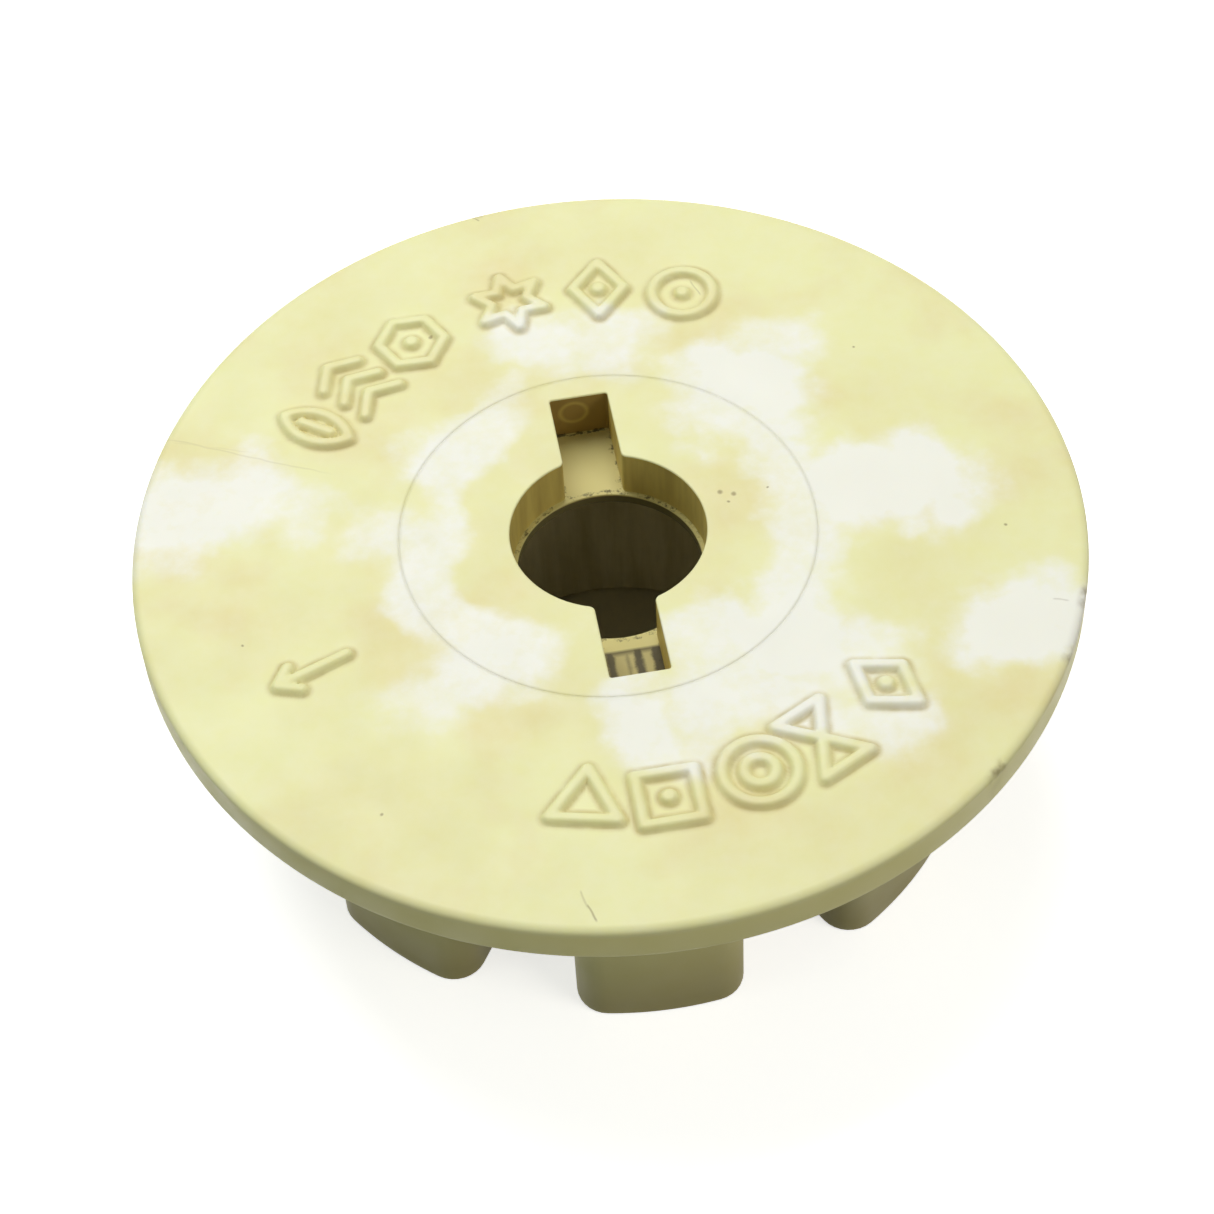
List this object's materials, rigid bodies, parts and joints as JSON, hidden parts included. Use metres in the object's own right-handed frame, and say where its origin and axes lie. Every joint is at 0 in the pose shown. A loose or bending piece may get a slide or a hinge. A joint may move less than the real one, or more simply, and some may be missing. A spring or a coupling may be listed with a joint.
{
  "type": "stitch pattern cam disc",
  "caption": "Round cream plastic stitch cam: a flat brim with raised marks over a lobed cam ring, and a hub with a two-slot keyhole for the spindle.",
  "frame": {"origin": "on the spindle axis, at the flat bottom face of the cam ring and hub", "axes": "+Z along the spindle axis, up through the marked face; +Y along the keyhole's slots"},
  "size_m": [0.041, 0.041, 0.0136],
  "materials": {
    "brim_plastic": "moulded, smooth, aged cream with white clouding",
    "hub_plastic": "moulded, smooth, aged cream",
    "cam_plastic": "moulded, smooth, aged cream, slightly darker"
  },
  "bodies": {
    "root": {"brim": "brim_plastic", "hub": "hub_plastic", "cam_ring": "cam_plastic"}
  },
  "joints": []
}
